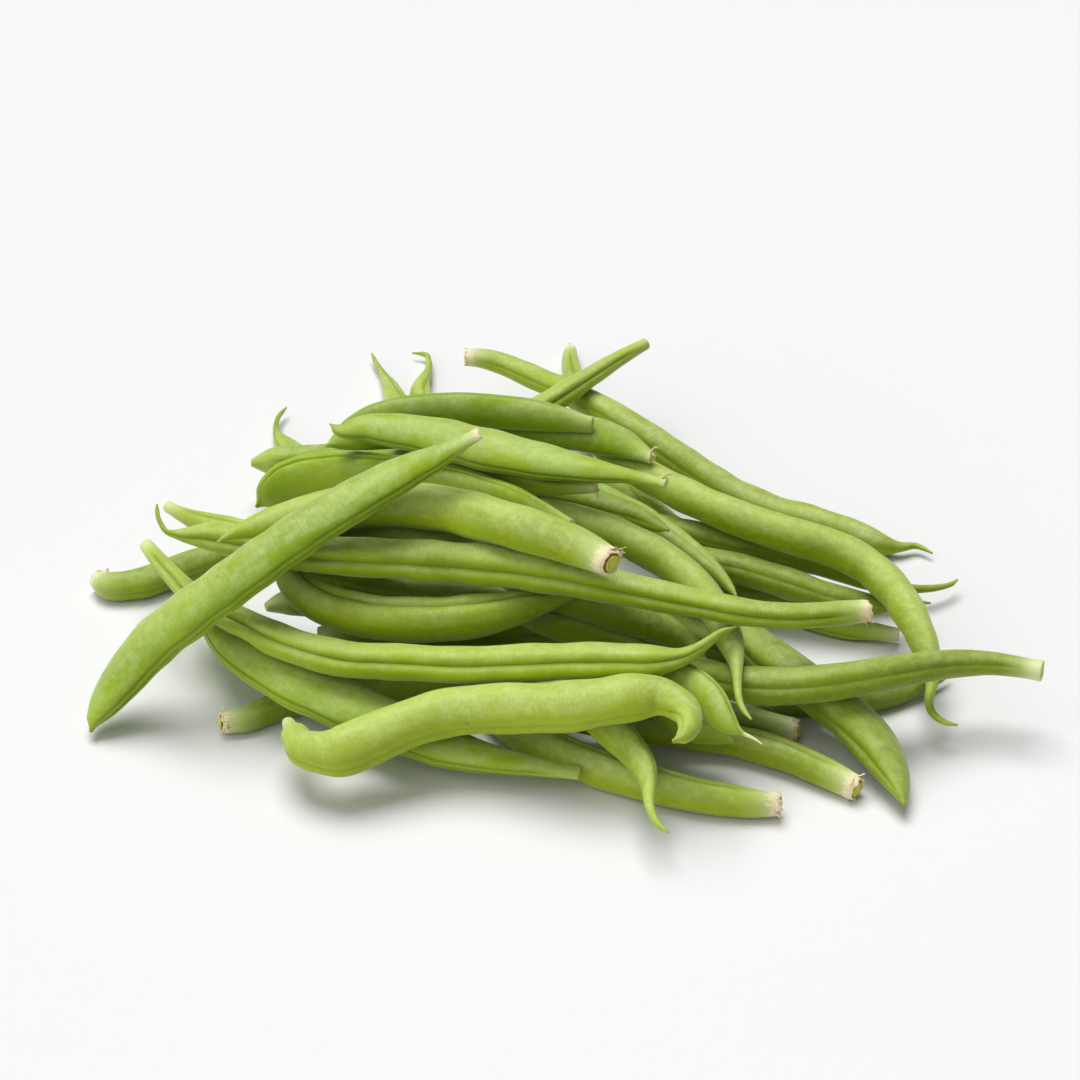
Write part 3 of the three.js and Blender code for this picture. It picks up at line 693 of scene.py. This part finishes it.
class Nodes:
    """Short calls for building a material's nodes."""

    def __init__(self, name):
        self.material = bpy.data.materials.new(name)
        self.material.use_nodes = True
        self.tree = self.material.node_tree
        self.tree.nodes.clear()

    def link(self, value, socket):
        if isinstance(value, bpy.types.NodeSocket):
            self.tree.links.new(value, socket)
        else:
            socket.default_value = value

    def new(self, kind, **settings):
        node = self.tree.nodes.new(kind)
        for key, value in settings.items():
            setattr(node, key, value)
        return node

    def math(self, operation, a, b=0.0, c=0.0):
        node = self.new("ShaderNodeMath", operation=operation)
        for value, socket in zip((a, b, c), node.inputs):
            self.link(value, socket)
        return node.outputs[0]

    def times(self, a, b):
        return self.math("MULTIPLY", a, b)

    def times_plus(self, a, b, c):
        return self.math("MULTIPLY_ADD", a, b, c)

    def absolute(self, a):
        return self.math("ABSOLUTE", a)

    def band(self, value, low, high, to_low=0.0, to_high=1.0):
        """A smooth rise from one limit to the other. With the limits the other way round it falls."""
        node = self.new("ShaderNodeMapRange", interpolation_type="SMOOTHSTEP", clamp=True)
        for v, socket in zip((value, low, high, to_low, to_high), node.inputs):
            self.link(v, socket)
        return node.outputs[0]

    def mix(self, factor, a, b):
        """Two colours mixed. The node's colour sockets are inputs 6 and 7 and output 2."""
        node = self.new("ShaderNodeMix", data_type="RGBA", blend_type="MIX", clamp_factor=True)
        self.link(factor, node.inputs["Factor"])
        self.link(a, node.inputs[6])
        self.link(b, node.inputs[7])
        return node.outputs[2]

    def lay(self, under, over, where, share):
        """A colour with another laid over it in one place, at most by the share."""
        return self.mix(self.times(where, share), under, over)

    def noise(self, vector, scale=1.0, detail=3.0, rough=0.5):
        node = self.new("ShaderNodeTexNoise", noise_dimensions="3D")
        self.link(vector, node.inputs["Vector"])
        node.inputs["Scale"].default_value = scale
        node.inputs["Detail"].default_value = detail
        node.inputs["Roughness"].default_value = rough
        return node.outputs["Fac"]

    def stretch(self, vector, x, y, z=1.0):
        """A place scaled in each direction. A smaller scale makes the noise longer."""
        node = self.new("ShaderNodeVectorMath", operation="MULTIPLY")
        self.link(vector, node.inputs[0])
        node.inputs[1].default_value = (x, y, z)
        return node.outputs[0]

    def attribute(self, name):
        return self.new("ShaderNodeAttribute", attribute_name=name).outputs["Vector"]

    def split(self, vector):
        node = self.new("ShaderNodeSeparateXYZ")
        self.link(vector, node.inputs[0])
        return node.outputs

    def finish(self, colour, roughness, settings, relief, strength, distance):
        """Closes the material with one shader and a bump."""
        shader = self.new("ShaderNodeBsdfPrincipled")
        self.link(colour, shader.inputs["Base Color"])
        self.link(roughness, shader.inputs["Roughness"])
        for key, value in settings.items():
            shader.inputs[key].default_value = value
        bump = self.new("ShaderNodeBump")
        bump.inputs["Strength"].default_value = strength
        bump.inputs["Distance"].default_value = distance
        self.link(relief, bump.inputs["Height"])
        self.link(bump.outputs[0], shader.inputs["Normal"])
        out = self.new("ShaderNodeOutputMaterial")
        self.link(shader.outputs[0], out.inputs["Surface"])
        return self.material


def skin_inputs(n):
    """The values at the skin's points, and noises stretched round the pod (first number) or along it."""
    skin = n.attribute("skin")
    from_stem, from_tail, face_in = n.split(n.attribute("ends"))
    papery, ringed, tint = n.split(n.attribute("traits"))
    dry, seam_share, neck_share = n.split(n.attribute("nature"))
    return SimpleNamespace(
        skin=skin,
        from_seam=n.absolute(n.split(skin)[0]),
        from_stem=from_stem,
        from_tail=from_tail,
        face_in=face_in,
        papery=papery,
        ringed=ringed,
        tint=tint,
        dry=dry,
        seam_share=seam_share,
        neck_share=neck_share,
        patches=n.noise(n.stretch(skin, 0.16, 0.045), detail=2.0),
        mottle=n.noise(n.stretch(skin, 0.7, 0.5), detail=4.0, rough=0.6),
        streaks=n.noise(n.stretch(skin, 0.5, 4.6), rough=0.62),
        grain=n.noise(n.stretch(skin, 5.5, 8.0), detail=2.0),
        fibres=n.noise(n.stretch(skin, 7.0, 0.8), rough=0.6),
    )


def green_colour(n, v, look):
    """Green that varies in patches, mottles and cross streaks, with the pod's own tint."""
    colour = n.mix(n.band(v.patches, 0.30, 0.70), look.deep, look.main)
    colour = n.lay(colour, look.pale, n.band(v.mottle, 0.42, 0.72), 0.4)
    colour = n.lay(colour, look.pale, n.band(v.streaks, 0.45, 0.75), 0.16)
    colour = n.lay(colour, look.deep, n.band(v.streaks, 0.5, 0.25), 0.14)
    colour = n.lay(colour, look.frost_and_highlight, n.band(v.grain, 0.55, 0.8), 0.1)
    colour = n.lay(colour, look.pale, n.band(v.tint, 0.0, 1.0), 0.5)
    return n.lay(colour, look.deep, n.band(v.tint, 0.0, -1.0), 0.5)


def add_bloom_and_painted_highlight(n, v, look, colour):
    """Pale bloom, partly real and partly a painted highlight on up-facing sides; wiped off in patches and by
    the seam.
    """
    up = n.split(n.new("ShaderNodeNewGeometry").outputs["Normal"])[2]
    noise = n.times_plus(v.streaks, 0.5, n.times(v.mottle, 0.5))
    # The up-facing share paints a highlight: tops are paler where the light from above falls
    bloom_and_highlight = n.times(n.band(up, -0.05, 0.85), n.band(noise, 0.15, 0.85))
    wiped_noise = n.noise(n.stretch(v.skin, 0.27, 0.09), scale=1.15, rough=0.55)
    near_seam = n.band(v.from_seam, 6.5, 1.0)
    wiped = n.band(n.times_plus(near_seam, 0.12, wiped_noise), 0.50, 0.72)
    bloom_and_highlight = n.times(bloom_and_highlight, n.times_plus(wiped, -look.wipe, 1.0))
    return n.lay(colour, look.frost_and_highlight, bloom_and_highlight, BLOOM_AND_HIGHLIGHT)


def add_seam(n, v, look, colour):
    """Darker green in the seam's valley, partly its colour, partly painted shade; a fine line in it."""
    seam = n.absolute(n.math("SUBTRACT", v.from_seam, look.line_offset))
    seam_open = n.times(n.band(v.from_stem, *SEAM_TINT), v.seam_share)
    # The valley darkening is partly painted shade in the groove
    colour = n.lay(colour, VALLEY_GREEN_AND_SHADE, n.times(n.band(seam, *VALLEY_TINT), seam_open), 0.55)
    return n.lay(colour, LINE_GREEN, n.times(n.band(seam, *LINE_TINT), seam_open), 0.5)


def add_spots(n, v, colour):
    """A few small brown spots."""
    cells = n.new("ShaderNodeTexVoronoi", feature="F1")
    n.link(n.stretch(v.skin, 0.11, 0.075), cells.inputs["Vector"])
    cells.inputs["Scale"].default_value = 1.0
    chosen = n.band(n.split(cells.outputs["Color"])[0], 0.72, 0.8)
    return n.lay(colour, SPOT_BROWN, n.times(n.band(cells.outputs["Distance"], *SPOT_TINT), chosen), 0.5)


def add_neck_and_tail(n, v, colour):
    """Neck that pales to white, tail that pales a little, and the dry stretch at its tip."""
    neck = n.times_plus(v.mottle, 4.0, v.from_stem)
    neck_fade = n.times(n.band(neck, *NECK_TINT), n.times_plus(v.neck_share, 0.45, 0.12))
    colour = n.mix(neck_fade, colour, NECK_GREEN)
    tail = n.times_plus(v.mottle, 5.0, v.from_tail)
    colour = n.lay(colour, TAIL_GREEN, n.band(tail, *TAIL_TINT), 0.3)
    white_fade = n.times(n.band(v.from_stem, *WHITE_TINT), n.times(v.neck_share, 0.6))
    colour = n.mix(white_fade, colour, NECK_WHITE)
    dry_reach = n.times_plus(v.dry, 4.4, 0.2)
    dry_edge = n.math("SUBTRACT", n.times_plus(v.mottle, 1.6, v.from_tail), dry_reach)
    dry_colour = n.mix(n.band(v.dry, 0.75, 0.95), DRY, CREAM)
    return n.lay(colour, dry_colour, n.band(dry_edge, *DRY_TINT), 0.8)


def add_collar(n, v, colour):
    """Papery collar with a ragged edge and fibres, scorched at the rim, and where it lies."""
    ragged = n.noise(n.stretch(v.skin, 2.4, 0.6), rough=0.6)
    edge = n.times_plus(ragged, -5.2, n.times_plus(v.papery, -1.9, v.from_stem))
    paper = n.times(n.band(edge, *COLLAR_TINT), n.band(v.papery, 0.2, 0.45))
    paper_colour = n.lay(CREAM, TAN, n.band(v.fibres, 0.50, 0.75), 0.55)
    colour = n.lay(colour, paper_colour, paper, 0.9)
    scorch = n.times(n.band(v.from_stem, *SCORCH_TINT), n.times(v.ringed, n.band(v.fibres, 0.4, 0.65)))
    return n.lay(colour, BROWN, scorch, 0.7), paper


def add_cut_face(n, v, colour):
    """Cut face with a cream lip, a brown ring and a pithy core, and where it lies."""
    cut = n.band(v.face_in, *CUT_TINT)
    cut_colour = n.mix(n.band(v.face_in, *HEART_TINT), PITH, PITH_HEART)
    cut_colour = n.mix(n.band(v.face_in, *LIP_TINT), cut_colour, CREAM)
    ring = n.times(n.band(v.face_in, *RING_OUTER), n.band(v.face_in, *RING_INNER))
    ring_share = n.times(ring, n.times(v.ringed, n.band(v.fibres, 0.2, 0.5, 0.45, 1.0)))
    return n.mix(cut, colour, n.mix(ring_share, cut_colour, BROWN)), cut


def skin_material(look):
    """Bean skin: the green first, then each mark laid over what is there."""
    n = Nodes(look.name)
    v = skin_inputs(n)
    colour = green_colour(n, v, look)
    colour = add_bloom_and_painted_highlight(n, v, look, colour)
    colour = add_seam(n, v, look, colour)
    colour = add_spots(n, v, colour)
    colour = add_neck_and_tail(n, v, colour)
    colour, paper = add_collar(n, v, colour)
    colour, cut = add_cut_face(n, v, colour)
    matt = n.times(n.math("MAXIMUM", paper, cut), 0.75)
    roughness = n.math("MAXIMUM", n.times_plus(v.mottle, 0.14, 0.40), matt)
    relief = n.times_plus(v.streaks, 0.5, n.times(v.grain, 0.4))
    relief = n.times_plus(v.mottle, 0.9, relief)
    relief = n.times_plus(n.times(v.fibres, paper), 1.3, relief)
    settings = {
        "Specular IOR Level": 0.26,
        "Subsurface Weight": 0.22,
        "Subsurface Radius": (0.8, 1.0, 0.25),
        "Subsurface Scale": 0.0016,
        "Sheen Weight": 0.3,
        "Sheen Roughness": 0.45,
        "Sheen Tint": SHEEN_TINT,
    }
    return n.finish(colour, roughness, settings, relief, strength=0.55, distance=0.00016)


def shred_material():
    """Dry papery skin with fibres and tan blotches."""
    n = Nodes("papery_shred")
    place = n.new("ShaderNodeNewGeometry").outputs["Position"]
    fibres = n.noise(place, scale=1600.0, rough=0.6)
    blotch = n.noise(place, scale=500.0, detail=2.0)
    colour = n.mix(n.band(fibres, 0.45, 0.7), CREAM, PALE_TAN)
    colour = n.lay(colour, TAN, n.band(blotch, 0.52, 0.72), 0.7)
    settings = {"Specular IOR Level": 0.25, "Subsurface Weight": 0.2, "Subsurface Scale": 0.0008}
    return n.finish(colour, 0.8, settings, fibres, strength=0.4, distance=0.0001)


SKINS = {slot: skin_material(look) for slot, look in SKIN_LOOKS.items()}
SHRED = shred_material()


def add_trim(name, slot, points, faces):
    """One small dry piece that goes with a pod."""
    piece = make_object(name, points, faces, SHRED)
    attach(piece, "root")


def dress_pod(name, slot):
    """The skin of one pod and the dry pieces on its stem end."""
    papery, ringed, shreds = STEMS.get(name, PLAIN_STEM)
    flat = slot == "pod_flat"
    seam_share = SEAMS.get(name, FLAT_SEAM if flat else COMMON_SEAM)
    neck_share = PALE_NECKS.get(name, FLAT_NECK if flat else COMMON_NECK)
    rows = body_rows(name, read_rings(name), flat, seam_share)
    collar(rows, papery, random_for(name + " collar"))
    tint = rows.random.uniform(-TINT_REACH, TINT_REACH)
    nature = (DRY_TAILS.get(name, FRESH_TAIL), seam_share, neck_share)
    points, faces, values = pod_mesh(rows, (papery, ringed, tint), nature)
    bean = make_object(name + "_bean", points, faces, SKINS[slot])
    for key, value in values.items():
        add_attribute(bean.data, key, value)
    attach(bean, "root")
    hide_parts(name)
    for k in range(shreds):
        add_trim(f"{name}_shred_{k + 1}", slot, *shred(rows, papery))
    if name in SCRAPS:
        add_trim(name + "_scrap", slot, *scrap(rows.mid[0], SCRAPS[name]))


def make_floor():
    """White surface that the heap lies on."""
    material = bpy.data.materials.new("pale_floor")
    material.use_nodes = True
    shader = material.node_tree.nodes["Principled BSDF"]
    shader.inputs["Base Color"].default_value = FLOOR_GREY
    shader.inputs["Roughness"].default_value = 0.7
    shader.inputs["Specular IOR Level"].default_value = 0.2
    mesh = bpy.data.meshes.new("floor")
    low, high = -FLOOR_REACH, FLOOR_REACH
    mesh.from_pydata([(low, low, 0), (high, low, 0), (high, high, 0), (low, high, 0)], [], [(0, 1, 2, 3)])
    mesh.materials.append(material)
    floor = bpy.data.objects.new("floor", mesh)
    bpy.context.scene.collection.objects.link(floor)


def soft_light(name, place, strength, spread):
    """Even light from one side of the sky, as from a large softbox."""
    data = bpy.data.lights.new(name, "SUN")
    data.energy = strength
    data.angle = math.radians(spread)
    lamp = bpy.data.objects.new(name, data)
    lamp.location = place
    lamp.rotation_euler = (-Vector(place)).to_track_quat("-Z", "Y").to_euler()
    bpy.context.scene.collection.objects.link(lamp)


def light_scene():
    soft_light("top_light", *TOP_LIGHT)
    soft_light("front_light", *FRONT_LIGHT)
    world = bpy.data.worlds.new("studio")
    world.use_nodes = True
    background = world.node_tree.nodes["Background"]
    background.inputs["Color"].default_value = (1, 1, 1, 1)
    background.inputs["Strength"].default_value = WORLD_STRENGTH
    bpy.context.scene.world = world
    bpy.context.scene.view_settings.view_transform = "Standard"


def place_camera():
    data = bpy.data.cameras.new("camera")
    data.lens = LENS
    data.sensor_width = SENSOR
    data.clip_start = 0.01
    camera = bpy.data.objects.new("camera", data)
    away = Vector((0, -math.cos(VIEW_ELEVATION), math.sin(VIEW_ELEVATION)))
    camera.location = AIM + away * VIEW_DISTANCE
    camera.rotation_euler = (math.pi / 2 - VIEW_ELEVATION, 0, 0)
    bpy.context.scene.collection.objects.link(camera)
    bpy.context.scene.camera = camera


for entry in frame["record"]["subparts"]:
    dress_pod(entry["node"], entry["material_slot"])
make_floor()
light_scene()
place_camera()
